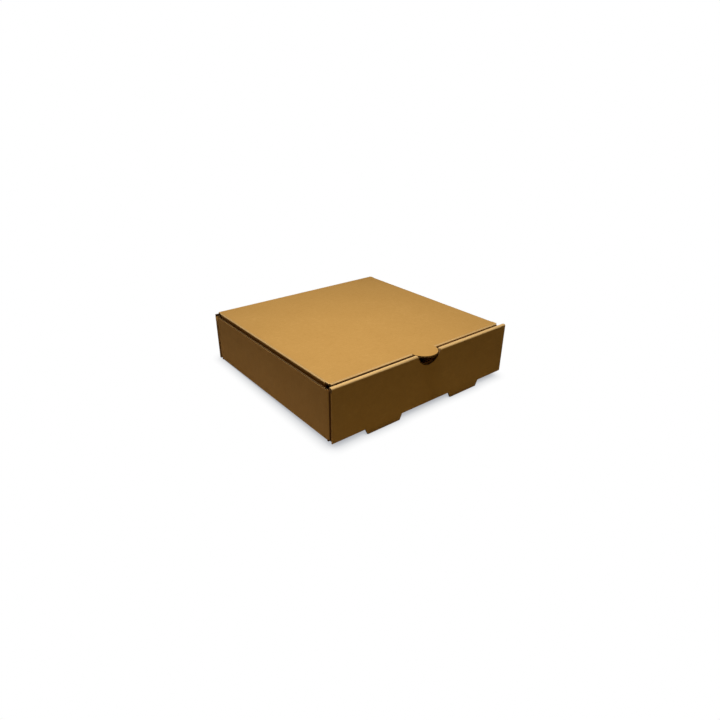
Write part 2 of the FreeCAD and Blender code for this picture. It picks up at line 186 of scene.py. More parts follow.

# Papers, as colours they reflect. The last two are painted shade: dark colours put in the slits behind the
# corners and in the open pockets beside the hinge, where shade falls.
KRAFT = (0.545, 0.297, 0.0785, 1)
KRAFT_PALE = (0.645, 0.366, 0.1090, 1)
KRAFT_DARK = (0.460, 0.236, 0.0550, 1)
FIBRE_DARK = (0.288, 0.132, 0.0290, 1)
FIBRE_PALE = (0.780, 0.490, 0.1900, 1)
# Worn paper along the folds, pale enough to also stand in as a painted highlight on the rolled edge and the
# lid's edges.
WORN_PALE_AND_HIGHLIGHT = (0.860, 0.575, 0.2500, 1)
EDGE_PAPER = (0.270, 0.158, 0.0640, 1)
CORE_PAPER = (0.345, 0.184, 0.0630, 1)
SLIT_PAINTED_SHADE = (0.130, 0.052, 0.0080, 1)
POCKET_PAINTED_SHADE = (0.020, 0.008, 0.0020, 1)

# Noise in the papers: scale per metre, detail and roughness.
CLOUDS = (28.0, 3.0, 0.6)
MOTTLE = (260.0, 4.0, 0.65)
GRAIN = (2600.0, 2.0, 0.6)
FLUTE_FADE = (60.0, 2.0, 0.5)
WEAR_AND_HIGHLIGHT_PATCHES = (900.0, 3.0, 0.5)
STREAKS = (1.0, 1.5, 0.5)
TORN_GRAIN = (3800.0, 3.0, 0.7)
TORN_PATCHES = (420.0, 2.0, 0.5)

# Smooth steps that those noises go through: from low and high, and to low and high if not 0 and 1.
FLUTE_FADE_STEP = (0.3, 0.7, 0.35, 1.0)
WEAR_AND_HIGHLIGHT_PATCHES_STEP = (0.35, 0.75, 0.65, 1.0)
TORN_STEP = (0.7, 1.3)

# A face is a wall where its normal leans this far, and the paper's pattern is shifted in its third
# direction on side walls and on the front and back, so that they differ from base and lid.
WALL_FACING = 0.7
SIDE_SHIFT = 0.31
END_SHIFT = 0.53

# Fibres: turn in degrees, width and length in metres, and the levels between which they show.
DARK_FIBRES = [
    (8, 0.00011, 0.0013, 0.64, 0.74),
    (58, 0.00010, 0.0011, 0.66, 0.76),
    (-42, 0.00010, 0.0010, 0.66, 0.76),
]
PALE_FIBRES = [
    (-15, 0.00012, 0.0016, 0.63, 0.74),
    (34, 0.00010, 0.0012, 0.65, 0.75),
]

# Specks: size of a cell in metres, share of the cells with a speck, and its radius in cells.
SPECKS = [(0.0021, 0.10, 0.13), (0.0047, 0.10, 0.08)]

# What share of a speck's radius, and of the reach of the wear and painted highlight along a fold, has the
# full strength.
SPECK_CORE = 0.4
WEAR_AND_HIGHLIGHT_CORE = 0.35

# How much each detail changes the tone of the liner, where 0 is dark, 0.5 plain and 1 pale.
TONE_OF_CLOUDS = 0.55
TONE_OF_MOTTLE = 0.75
TONE_OF_GRAIN = 0.55
TONE_OF_FLUTES = 0.045

# How strongly fibres, specks, and the wear with its painted highlight cover the liner.
DARK_FIBRE_COVER = 0.34
PALE_FIBRE_COVER = 0.30
SPECK_COVER = 0.55
WEAR_AND_HIGHLIGHT_COVER = 0.85

# How much each detail raises the liner, as shares of its bump.
RELIEF_OF_FLUTES = 0.10
RELIEF_OF_GRAIN = 0.30
RELIEF_OF_MOTTLE = 0.50
RELIEF_OF_FIBRES = 0.10
RELIEF_OF_WEAR = 0.35

# Surfaces: height of the bump in metres, roughness, what the grain adds to it, and gloss.
LINER_SURFACE = (0.00006, 0.78, 0.12, 0.12)
TORN_SURFACE = (0.00005, 0.85, 0.1, 0.08)

# How dark the darker patches of torn paper are, on cut edges and inside the flutes.
EDGE_SHADE = 0.80
CORE_SHADE = 0.75

# Camera: angles in degrees, lengths in millimetres. It looks past the frame's origin.
CAMERA_AZIMUTH = -38.968
CAMERA_ELEVATION = 26.188
CAMERA_ROLL = 0.512
CAMERA_DISTANCE = 521.913
CAMERA_SIDESTEP = -3.232
CAMERA_RISE = -3.650
CAMERA_LENS = 26.2495
CAMERA_SENSOR = 36
CAMERA_NEAR = 10

# Lamp: place, aim and size in metres, power in watts.
LAMP_PLACE = (-0.076, -0.080, 0.455)
LAMP_AIM = (0.0, 0.0, 0.048)
LAMP_SIZE = 0.12
LAMP_POWER = 1.80
WORLD_FILL = (0.035, 0.022, 0.0, 1)

# Floor: it meets the tips of the feet and the fold under the back wall, on which the box stands.
FLOOR_HALF = 6.0
FLOOR_SLOPE = math.atan2(FOOT_DROP, HALF_DEPTH - FOLD_RADIUS - FOOT_BACK)

# The shadow that the floor shows: its reach in metres, depth, falloff, colour and samples.
SHADOW_REACH = 0.0112
SHADOW_DEPTH = 0.95
SHADOW_FALLOFF = 1.3
SHADOW_COLOUR = (0.16, 0.18, 0.22, 1)
SHADOW_SAMPLES = 24

# Light that the floor throws back at the walls: one colour in front and one on the left, and
# where the one turns into the other, in metres across the corner between them.
BOUNCE_IN_FRONT = (0.370, 0.306, 0.160, 1)
BOUNCE_BESIDE = (0.495, 0.425, 0.385, 1)
BOUNCE_TURN = (0.07, 0.14)


def make_camera():
    azimuth, elevation, roll = map(math.radians, (CAMERA_AZIMUTH, CAMERA_ELEVATION, CAMERA_ROLL))
    back = Vector((
        math.sin(azimuth) * math.cos(elevation),
        -math.cos(azimuth) * math.cos(elevation),
        math.sin(elevation),
    ))
    level = Vector((math.cos(azimuth), math.sin(azimuth), 0))
    upright = back.cross(level)
    right = math.cos(roll) * level + math.sin(roll) * upright
    up = -math.sin(roll) * level + math.cos(roll) * upright
    place = (back * CAMERA_DISTANCE - right * CAMERA_SIDESTEP - up * CAMERA_RISE) * MM
    camera = bpy.data.objects.new("camera", bpy.data.cameras.new("camera"))
    camera.data.lens = CAMERA_LENS
    camera.data.sensor_width = CAMERA_SENSOR
    camera.data.clip_start = CAMERA_NEAR * MM
    camera.matrix_world = Matrix.Translation(place) @ Matrix((right, up, back)).transposed().to_4x4()
    bpy.context.scene.collection.objects.link(camera)
    bpy.context.scene.camera = camera


class Tree:
    """Short calls that add nodes to a material, world or modifier tree."""

    def __init__(self, tree):
        self.tree = tree

    def node(self, kind, settings=None, values=None):
        made = self.tree.nodes.new(kind)
        for name, value in (settings or {}).items():
            setattr(made, name, value)
        for name, value in (values or {}).items():
            self.feed(made.inputs[name], value)
        return made

    def feed(self, socket, value):
        if isinstance(value, bpy.types.NodeSocket):
            self.tree.links.new(value, socket)
        else:
            socket.default_value = value

    def math(self, operation, *operands, clamp=False):
        made = self.node("ShaderNodeMath", {"operation": operation, "use_clamp": clamp})
        for socket, value in zip(made.inputs, operands):
            self.feed(socket, value)
        return made.outputs[0]

    def all_of(self, *tests):
        """1 where every test gives 1, and less where one fades out."""
        both = tests[0]
        for test in tests[1:]:
            both = self.math("MULTIPLY", both, test)
        return both

    def ramp(self, value, low, high, to_low=0.0, to_high=1.0):
        """Smooth step of a value between low and high."""
        made = self.node("ShaderNodeMapRange", {"interpolation_type": "SMOOTHSTEP"}, {
            "Value": value, "From Min": low, "From Max": high, "To Min": to_low, "To Max": to_high})
        return made.outputs[0]

    def noise(self, vector, scale, detail, roughness):
        made = self.node("ShaderNodeTexNoise", values={
            "Vector": vector, "Scale": scale, "Detail": detail, "Roughness": roughness})
        return made.outputs[0]

    def split(self, vector):
        return self.node("ShaderNodeSeparateXYZ", values={"Vector": vector}).outputs

    def mix_colour(self, factor, first, second):
        made = self.node("ShaderNodeMix", {"data_type": "RGBA"})
        self.feed(made.inputs[0], factor)
        self.feed(made.inputs[6], first)
        self.feed(made.inputs[7], second)
        return made.outputs[2]

    def mix_value(self, factor, first, second):
        made = self.node("ShaderNodeMix", {"data_type": "FLOAT"})
        self.feed(made.inputs[0], factor)
        self.feed(made.inputs[2], first)
        self.feed(made.inputs[3], second)
        return made.outputs[0]

    def mix_shader(self, factor, first, second):
        made = self.node("ShaderNodeMixShader")
        self.feed(made.inputs[0], factor)
        self.feed(made.inputs[1], first)
        self.feed(made.inputs[2], second)
        return made.outputs[0]

    def show(self, shader, kind="ShaderNodeOutputMaterial"):
        self.feed(self.node(kind).inputs["Surface"], shader)


def new_material(name):
    material = bpy.data.materials.new(name)
    material.use_nodes = True
    material.node_tree.nodes.clear()
    return material, Tree(material.node_tree)


def finish_paper(tree, colour, grain, height, surface):
    bump_height, roughness, rougher, gloss = surface
    bump = tree.node("ShaderNodeBump", values={
        "Strength": 1.0, "Distance": bump_height, "Height": height})
    shader = tree.node("ShaderNodeBsdfPrincipled", values={
        "Base Color": colour, "Specular IOR Level": gloss, "Normal": bump.outputs[0],
        "Roughness": tree.math("MULTIPLY_ADD", grain, rougher, roughness)})
    tree.show(shader.outputs[0])


def sheet_place(tree, rest_attribute):
    """The place in the box, the place across the flutes, and the place in the paper's pattern, all
    in metres. The crease gives its place before it bends."""
    if rest_attribute:
        place = tree.node("ShaderNodeAttribute", {"attribute_name": "rest_place"}).outputs["Vector"]
        normal = tree.node("ShaderNodeAttribute", {"attribute_name": "rest_normal"}).outputs["Vector"]
    else:
        source = tree.node("ShaderNodeTexCoord")
        place, normal = source.outputs["Object"], source.outputs["Normal"]
    x, y, z = tree.split(place)
    facing = tree.split(normal)
    sideways = tree.math("GREATER_THAN", tree.math("ABSOLUTE", facing[0]), WALL_FACING)
    frontways = tree.math("GREATER_THAN", tree.math("ABSOLUTE", facing[1]), WALL_FACING)
    across = tree.mix_value(frontways, y, z)
    along = tree.mix_value(sideways, x, z)
    shift = tree.math("ADD", tree.math("MULTIPLY", sideways, SIDE_SHIFT),
                      tree.math("MULTIPLY", frontways, END_SHIFT))
    flat = tree.node("ShaderNodeCombineXYZ", values={"X": along, "Y": across, "Z": shift}).outputs[0]
    return (x, y, z), across, flat


def in_slits(tree, place, start):
    """1 on the rounded corners, from a depth on, where they run into the slits behind the walls. There the
    paper gets painted shade.
    """
    x, y, z = place
    depth = tree.math("ABSOLUTE", y)
    return tree.all_of(
        tree.math("GREATER_THAN", tree.math("ABSOLUTE", x), (HALF_WIDTH - CORNER_RADIUS) * MM),
        tree.math("LESS_THAN", z, (SIDE_TOP + 2 * HAIR) * MM),
        tree.ramp(depth, start * MM, (start + SLIT_FADE) * MM),
        tree.math("LESS_THAN", depth, (HALF_DEPTH - BOARD - HAIR) * MM))


def in_front_gap(tree, place):
    """1 on the upper edge of the tuck flap, down in the gap between the lid and the roll. It fades
    out to the right."""
    x, y, z = place
    top_out, top_in = GAP_COMES_IN
    bottom_in, bottom_out = GAP_GOES_OUT
    return tree.all_of(
        tree.ramp(z, (LID_TOP - top_out) * MM, (LID_TOP - top_in) * MM),
        tree.ramp(z, (LID_TOP - bottom_out) * MM, (LID_TOP - bottom_in) * MM),
        tree.math("LESS_THAN", y, (LID_FRONT + GAP_REACH) * MM),
        tree.ramp(x, HALF_WIDTH * MM, -HALF_WIDTH / 2 * MM))


def in_pockets(tree, place):
    """1 in the two pockets that stay open beside the ends of the hinge, above the side walls. There the
    paper gets a painted near-black shade.
    """
    x, y, z = place
    across = tree.math("ABSOLUTE", x)
    return tree.all_of(
        tree.math("GREATER_THAN", across, LID_TAB * MM),
        tree.math("LESS_THAN", across, (HALF_WIDTH - HAIR) * MM),
        tree.math("GREATER_THAN", z, (SIDE_TOP - 2 * HAIR) * MM),
        tree.math("GREATER_THAN", y, WALL_END * MM),
        tree.math("LESS_THAN", y, (HALF_DEPTH - HAIR) * MM))


def fibres(tree, flat, kinds):
    """Thin streaks that lie in the sheet at several angles, from 0 to 1."""
    shown = 0.0
    for turn, width, length, low, high in kinds:
        mapping = tree.node("ShaderNodeMapping", {"vector_type": "TEXTURE"}, {
            "Vector": flat, "Rotation": (0, 0, math.radians(turn)), "Scale": (width, length, 1)})
        streaks = tree.ramp(tree.noise(mapping.outputs[0], *STREAKS), low, high)
        shown = tree.math("MAXIMUM", shown, streaks)
    return shown


def specks(tree, flat):
    """Small spots of several sizes, from 0 to 1."""
    shown = 0.0
    for size, share, radius in SPECKS:
        cells = tree.node("ShaderNodeTexVoronoi", {"voronoi_dimensions": "3D"}, {
            "Vector": flat, "Scale": 1 / size, "Randomness": 1.0}).outputs
        draw = tree.node("ShaderNodeSeparateColor", values={"Color": cells["Color"]}).outputs[0]
        spots = tree.all_of(
            tree.math("LESS_THAN", draw, share),
            tree.ramp(cells["Distance"], radius, radius * SPECK_CORE))
        shown = tree.math("MAXIMUM", shown, spots)
    return shown


def fold_wear_and_highlight(tree, place, folds):
    """How near a point is to a fold line, from 0 to 1: worn pale paper, which also serves as a painted
    highlight on the folds.
    """
    worn = 0.0
    for first, first_at, second, second_at, reach, free_half in folds:
        offsets = []
        for axis, at in ((first, first_at), (second, second_at)):
            value = tree.math("ABSOLUTE", place[axis]) if axis == 0 else place[axis]
            offsets.append(tree.math("POWER", tree.math("SUBTRACT", value, at * MM), 2.0))
        distance = tree.math("SQRT", tree.math("ADD", *offsets))
        near = tree.ramp(distance, reach * MM, reach * WEAR_AND_HIGHLIGHT_CORE * MM)
        if free_half:
            beyond = tree.math("GREATER_THAN", tree.math("ABSOLUTE", place[0]), free_half * MM)
            near = tree.math("MULTIPLY", near, beyond)
        worn = tree.math("MAXIMUM", worn, near)
    return worn


def board_material(name, folds, gap_shade=0.0, rest_attribute=False):
    """The outside and inside faces of the board: kraft paper with fibres, specks and faint flutes."""
    material, tree = new_material(name)
    place, across, flat = sheet_place(tree, rest_attribute)

    clouds = tree.noise(flat, *CLOUDS)
    mottle = tree.noise(flat, *MOTTLE)
    grain = tree.noise(flat, *GRAIN)
    flute = tree.math("SINE", tree.math("MULTIPLY", across, 2 * math.pi / (PITCH * MM)))
    flute = tree.math("MULTIPLY", flute, tree.ramp(tree.noise(flat, *FLUTE_FADE), *FLUTE_FADE_STEP))

    tone = tree.math("MULTIPLY_ADD", clouds, TONE_OF_CLOUDS, (1 - TONE_OF_CLOUDS) / 2)
    tone = tree.math("MULTIPLY_ADD", tree.math("SUBTRACT", mottle, 0.5), TONE_OF_MOTTLE, tone)
    tone = tree.math("MULTIPLY_ADD", tree.math("SUBTRACT", grain, 0.5), TONE_OF_GRAIN, tone)
    tone = tree.math("MULTIPLY_ADD", flute, TONE_OF_FLUTES, tone, clamp=True)
    colour = tree.mix_colour(tree.ramp(tone, 0.0, 0.5), KRAFT_DARK, KRAFT)
    colour = tree.mix_colour(tree.ramp(tone, 0.5, 1.0), colour, KRAFT_PALE)

    dark = fibres(tree, flat, DARK_FIBRES)
    pale = fibres(tree, flat, PALE_FIBRES)
    colour = tree.mix_colour(tree.math("MULTIPLY", dark, DARK_FIBRE_COVER), colour, FIBRE_DARK)
    colour = tree.mix_colour(tree.math("MULTIPLY", pale, PALE_FIBRE_COVER), colour, FIBRE_PALE)
    spots = tree.math("MULTIPLY", specks(tree, flat), SPECK_COVER)
    colour = tree.mix_colour(spots, colour, FIBRE_DARK)

    patchy = tree.ramp(tree.noise(flat, *WEAR_AND_HIGHLIGHT_PATCHES), *WEAR_AND_HIGHLIGHT_PATCHES_STEP)
    rubbed_and_highlit = tree.math("MULTIPLY", fold_wear_and_highlight(tree, place, folds), patchy)
    # Worn pale folds, partly a painted highlight on the roll and the lid's edges.
    colour = tree.mix_colour(tree.math("MULTIPLY", rubbed_and_highlit, WEAR_AND_HIGHLIGHT_COVER), colour, WORN_PALE_AND_HIGHLIGHT)

    # Painted shade in the slits behind the round corners.
    colour = tree.mix_colour(in_slits(tree, place, SLIT_FROM_ON_FACES), colour, SLIT_PAINTED_SHADE)
    # Painted near-black shade in the open pockets beside the hinge.
    colour = tree.mix_colour(in_pockets(tree, place), colour, POCKET_PAINTED_SHADE)
    if gap_shade:
        shaded = tree.math("MULTIPLY", in_front_gap(tree, place), gap_shade)
        colour = tree.mix_colour(shaded, colour, SLIT_PAINTED_SHADE)

    height = tree.math("MULTIPLY", flute, RELIEF_OF_FLUTES)
    height = tree.math("MULTIPLY_ADD", grain, RELIEF_OF_GRAIN, height)
    height = tree.math("MULTIPLY_ADD", mottle, RELIEF_OF_MOTTLE, height)
    height = tree.math("MULTIPLY_ADD", tree.math("SUBTRACT", pale, dark), RELIEF_OF_FIBRES, height)
    height = tree.math("MULTIPLY_ADD", rubbed_and_highlit, RELIEF_OF_WEAR, height)
    finish_paper(tree, colour, grain, height, LINER_SURFACE)
    return material


def torn_paper_material(name, colour, shade, pressed_ends_and_shade=False):
    """Raw paper where the board was cut, or inside its flutes. The ends of the front and back walls are
    pressed flat by the die, so they keep the liner's colour. With that option the slits and pockets at the
    corners also get painted shade."""
    material, tree = new_material(name)
    place = tree.node("ShaderNodeTexCoord").outputs["Object"]
    grain = tree.noise(place, *TORN_GRAIN)
    patches = tree.noise(place, *TORN_PATCHES)
    dark = tuple(channel * shade for channel in colour[:3]) + (1,)
    mixed = tree.mix_colour(tree.ramp(tree.math("ADD", grain, patches), *TORN_STEP), dark, colour)
    if pressed_ends_and_shade:
        x, y, z = tree.split(place)
        at_end = tree.math("GREATER_THAN", tree.math("ABSOLUTE", x), (HALF_WIDTH - 2 * HAIR) * MM)
        below_roll = tree.math("LESS_THAN", z, (SIDE_TOP + 2 * HAIR) * MM)
        mixed = tree.mix_colour(tree.all_of(at_end, below_roll), mixed, KRAFT)
        # Painted shade on the cut edges in the slits behind the round corners.
        mixed = tree.mix_colour(in_slits(tree, (x, y, z), SLIT_FROM_ON_EDGES), mixed, SLIT_PAINTED_SHADE)
        # Painted near-black shade on the cut edges in the pockets beside the hinge.
        mixed = tree.mix_colour(in_pockets(tree, (x, y, z)), mixed, POCKET_PAINTED_SHADE)
    finish_paper(tree, mixed, grain, grain, TORN_SURFACE)
    return material


def opening_outline(upper, crush=1.0):
    """One opening between the wavy medium and a liner: places along the edge and through the board.
    Crush flattens the opening, as a die does at some edges."""
    core = BOARD - 2 * LINER
    swing = (core - MEDIUM) / 2
    pinch = PITCH / (2 * math.pi) * math.acos(1 - LEAST_GAP / swing)
    half = PITCH / 2 - pinch
    steps = 8
    curve = []
    for step in range(steps + 1):
        along = -half + 2 * half * step / steps
        curve.append((along, -swing * math.cos(2 * math.pi * along / PITCH) + MEDIUM / 2))
    outline = curve + [(half, core / 2), (-half, core / 2)]
    middle = core / 4
    outline = [(along * crush, middle + (through - middle) * crush) for along, through in outline]
    return outline if upper else [(along, -through) for along, through in outline]


class Cutter:
    """Closed prisms gathered into one hidden mesh, which a Boolean takes out of a node."""

    def __init__(self, name):
        self.name = name
        self.mesh = bmesh.new()

    def prism(self, outline, start, end):
        rings = [[self.mesh.verts.new((point + shift) * MM) for point in outline] for shift in (start, end)]
        count = len(outline)
        for index in range(count):
            after = (index + 1) % count
            self.mesh.faces.new((rings[0][index], rings[0][after], rings[1][after], rings[1][index]))
        self.mesh.faces.new(rings[0])
        self.mesh.faces.new(rings[1][::-1])

    def flutes(self, origin, across, through, along, span, cuts, crush=1.0):
        """A run of openings. cuts(place) gives spans along the flutes for an opening at that place."""
        low, high = span
        half = PITCH / 2
        for number in range(math.ceil(low / half), math.floor(high / half) + 1):
            middle = number * half
            if middle - half * FITTING_SHARE < low or middle + half * FITTING_SHARE > high:
                continue
            outline = [
                origin + across * (middle + place) + through * depth
                for place, depth in opening_outline(number % 2 == 0, crush)
            ]
            for start, end in cuts(middle):
                self.prism(outline, along * start, along * end)

    def round_corner(self, centre, side, end):
        """Openings in the top of a wall that turns a corner from its side to its end."""
        middle_radius = CORNER_RADIUS - BOARD / 2
        for number, degrees in enumerate(CORNER_OPENINGS):
            turn = math.radians(degrees)
            outward = X * side * math.cos(turn) + Y * end * math.sin(turn)
            sideways = Y * end * math.cos(turn) - X * side * math.sin(turn)
            outline = [
                centre + outward * (middle_radius + depth) + sideways * place
                for place, depth in opening_outline(number % 2 == 0, CORNER_CRUSH)
            ]
            self.prism(outline, Z * OVERSHOOT, Z * -OPEN_DEPTH)

    def groove(self, side, ply):
        """The flute that lies bare along the back wall's top edge, beside the end of the hinge."""
        half = BOARD / 2 - LINER
        low = BACK_TOP - GROOVE_DEPTH
        high = BACK_TOP + OVERSHOOT
        outline = [
            Vector((0, ply + place, height))
            for place, height in ((-half, low), (half, low), (half, high), (-half, high))
        ]
        self.prism(outline, X * side * GROOVE_START, X * side * (HALF_WIDTH + OVERSHOOT))

    def fit(self, node, material):
        """Take the prisms out of a node. Their walls get the material, and they move with the node."""
        bmesh.ops.recalc_face_normals(self.mesh, faces=self.mesh.faces)
        data = bpy.data.meshes.new(self.name)
        self.mesh.to_mesh(data)
        self.mesh.free()
        data.materials.append(material)
        cutter = bpy.data.objects.new(self.name, data)
        bpy.context.scene.collection.objects.link(cutter)
        cutter.parent = node.parent
        cutter.hide_render = True
        cutter.display_type = "WIRE"
        cut = node.modifiers.new("flutes", "BOOLEAN")
        cut.operation = "DIFFERENCE"
        cut.solver = "EXACT"
        cut.material_mode = "TRANSFER"
        cut.object = cutter


def both_ends(half_length):
    """Spans that open both ends of a panel that reaches that far each way."""
    return [
        (half_length + OVERSHOOT, half_length - OPEN_DEPTH),
        (-half_length - OVERSHOOT, -half_length + OPEN_DEPTH),
    ]


def cut_tray(tray, core):
    cutter = Cutter("tray_flutes")
    ply = HALF_DEPTH - BOARD / 2

    def side_top(place):
        return [(SIDE_TOP + OVERSHOOT, SIDE_TOP - OPEN_DEPTH)]

    def ear_top(place):
        share = (place - EAR_END) / (EAR_ROOT - EAR_END)
        top = EAR_TOP_AT_END + (EAR_TOP - EAR_TOP_AT_END) * share
        return [(top + OVERSHOOT, top - OPEN_DEPTH)]

    def wall_ends(place):
        return both_ends(HALF_WIDTH)

    def notch(place):
        reach = math.sqrt(NOTCH_RADIUS ** 2 - (NOTCH_CENTRE - place) ** 2)
        return [(reach + OPEN_DEPTH, -reach - OPEN_DEPTH)]

    def foot_ends(place):
        return both_ends((FOOT_ROOT + place * (FOOT_ROOT - FOOT_TIP) / FOOT_DROP) / 2)

    for side in (-1, 1):
        wall = Vector((side * (HALF_WIDTH - BOARD / 2), 0, 0))
        cutter.flutes(wall, Y, X * side, Z, (-WALL_END, WALL_END), side_top)
        ear = Vector((0, EAR_FACE - BOARD / 2, 0))
        cutter.flutes(ear, X * side, Y, Z, EAR_SPAN, ear_top)
        for end in (-1, 1):
            corner = Vector((side * (HALF_WIDTH - CORNER_RADIUS), end * WALL_END, SIDE_TOP))
            cutter.round_corner(corner, side, end)
    front = Vector((0, -ply, 0))
    back = Vector((0, ply, 0))
    cutter.flutes(front, Z, -Y, X, FRONT_SPAN, wall_ends, END_CRUSH)
    cutter.flutes(back, Z, Y, X, BACK_SPAN, wall_ends)
    for side in (-1, 1):
        cutter.groove(side, ply)
    cutter.flutes(front, Z, -Y, X, NOTCH_SPAN, notch)
    for side in (-1, 1):
        foot = Vector((side * FOOT_SPACING / 2, -ply, 0))
        cutter.flutes(foot, Z, -Y, X, FOOT_SPAN, foot_ends)
    cutter.fit(tray, core)


def rounded_edge(side_place, taper, corner, low, high):
    """Half length of a flap at a height: straight tapered ends, and round corners at its edge."""
    lean = math.atan(taper / (high - low))
    centre_up = low + corner

    def side(up):
        return side_place - taper * (high - up) / (high - low)

    centre = side(centre_up) - corner / math.cos(lean)

    def half_length(up):
        if up >= centre_up - corner * math.sin(lean):
            return side(up)
        return centre + math.sqrt(max(corner ** 2 - (centre_up - up) ** 2, 0))
    return half_length


def cut_lid(lid, core):
    cutter = Cutter("lid_flutes")
    panel = Vector((0, 0, LID_TOP - BOARD / 2))

    def tongue_ends(place):
        return both_ends(math.sqrt(TONGUE_RADIUS ** 2 - (place - TONGUE_END - TONGUE_RADIUS) ** 2))

    def tab_ends(place):
        return both_ends(LID_TAB)

    cutter.flutes(panel, Y, Z, X, TONGUE_SPAN, tongue_ends)
    for span in (FRONT_TAB_SPAN, BACK_TAB_SPAN):
        cutter.flutes(panel, Y, Z, X, span, tab_ends)

    down = Vector((0, math.sin(TUCK_LEAN), -math.cos(TUCK_LEAN)))
    inward = Vector((0, math.cos(TUCK_LEAN), math.sin(TUCK_LEAN)))
    fold = Vector((0, LID_FRONT, LID_TOP)) + inward * (BOARD / 2)
    tuck_half = rounded_edge(LID_FLAT - TUCK_END_CUT, TUCK_TAPER, TUCK_CORNER, TUCK_BOTTOM, LID_UNDER)

    def tuck_ends(place):
        return both_ends(tuck_half(LID_TOP - place * math.cos(TUCK_LEAN)))

    cutter.flutes(fold, down, -inward, X, TUCK_SPAN, tuck_ends)

    flap_middle = (SIDE_FLAP_FRONT + SIDE_FLAP_REAR) / 2
    flap_half = (SIDE_FLAP_REAR - SIDE_FLAP_FRONT) / 2
    flap_height = LID_UNDER - SIDE_FLAP_BOTTOM
    centre_up = SIDE_FLAP_BOTTOM + SIDE_FLAP_CORNER
    corner_at = (flap_half - SIDE_FLAP_TAPER * (LID_UNDER - centre_up) / flap_height
                 - SIDE_FLAP_CORNER / math.cos(math.atan(SIDE_FLAP_TAPER / flap_height)))

    def flap_edge(place):
        beyond = abs(place - flap_middle) - corner_at
        up = SIDE_FLAP_BOTTOM
        if beyond > 0:
            up = centre_up - math.sqrt(SIDE_FLAP_CORNER ** 2 - beyond ** 2)
        reach = (LID_TOP - up) / math.cos(SIDE_FLAP_LEAN)
        return [(reach + OVERSHOOT, reach - OPEN_DEPTH)]

    for side in (-1, 1):
        down = Vector((-side * math.sin(SIDE_FLAP_LEAN), 0, -math.cos(SIDE_FLAP_LEAN)))
        outward = Vector((side * math.cos(SIDE_FLAP_LEAN), 0, -math.sin(SIDE_FLAP_LEAN)))
        fold = Vector((side * LID_SIDE, 0, LID_TOP)) - outward * (BOARD / 2)
        cutter.flutes(fold, Y, outward, down, SIDE_FLAP_SPAN, flap_edge)
    cutter.fit(lid, core)


def mark_cut_edges(node, edge):
    """A modifier that gives the cut edges their own paper. A ray into the board from such a face
    runs on through the panel, and from any other face it leaves at once on the other side."""
    group = bpy.data.node_groups.new(node.name + "_edges", "GeometryNodeTree")
    group.interface.new_socket("Geometry", in_out="INPUT", socket_type="NodeSocketGeometry")
    group.interface.new_socket("Geometry", in_out="OUTPUT", socket_type="NodeSocketGeometry")
    tree = Tree(group)
    source = tree.node("NodeGroupInput")
    sink = tree.node("NodeGroupOutput")
    normal = tree.node("GeometryNodeInputNormal").outputs[0]
    place = tree.node("GeometryNodeInputPosition").outputs[0]
    inward = tree.node("ShaderNodeVectorMath", {"operation": "SCALE"}, {"Scale": -1.0})
    tree.feed(inward.inputs[0], normal)
    step = tree.node("ShaderNodeVectorMath", {"operation": "SCALE"}, {"Scale": -RAY_START * MM})
    tree.feed(step.inputs[0], normal)
    start = tree.node("ShaderNodeVectorMath", {"operation": "ADD"})
    tree.feed(start.inputs[0], place)
    tree.feed(start.inputs[1], step.outputs[0])
    ray = tree.node("GeometryNodeRaycast", values={
        "Target Geometry": source.outputs[0], "Source Position": start.outputs[0],
        "Ray Direction": inward.outputs[0], "Ray Length": 1.0})
    deep = tree.math("GREATER_THAN", ray.outputs["Hit Distance"], CUT_EDGE_DEPTH * MM)
    paint = tree.node("GeometryNodeSetMaterial", values={
        "Geometry": source.outputs[0], "Selection": deep, "Material": edge})
    tree.feed(sink.inputs[0], paint.outputs[0])
    node.modifiers.new("cut_edges", "NODES").node_group = group


def crease_profile():
    """Outline of the folded board at the hinge, in y and z: the outside, then the inside back again."""
    back = HALF_DEPTH + CREASE_PROUD
    top = LID_TOP + CREASE_PROUD
    outside = [(back, height) for height in CREASE_OUTER_HEIGHTS]
    reach = FOLD_RADIUS + CREASE_PROUD
    for step in range(1, CREASE_BENDS + 1):
        turn = math.radians(90 * step / CREASE_BENDS)
        outside.append((
            HALF_DEPTH - FOLD_RADIUS + reach * math.cos(turn),
            LID_TOP - FOLD_RADIUS + reach * math.sin(turn),
        ))
    outside += [(CREASE_BEND_FRONT, top), (CREASE_FRONT, top)]
    inner = HALF_DEPTH - BOARD - CREASE_PROUD
    below = LID_UNDER - CREASE_PROUD
    corner_gap, corner_drop = CREASE_INNER_CORNER
    inside = [(CREASE_FRONT, below)] + [(inner - gap, below) for gap in CREASE_INNER_GAPS]
    inside += [(inner - corner_gap, below - corner_drop)]
    inside += [(inner, height) for height in CREASE_INNER_HEIGHTS]
    return outside + inside


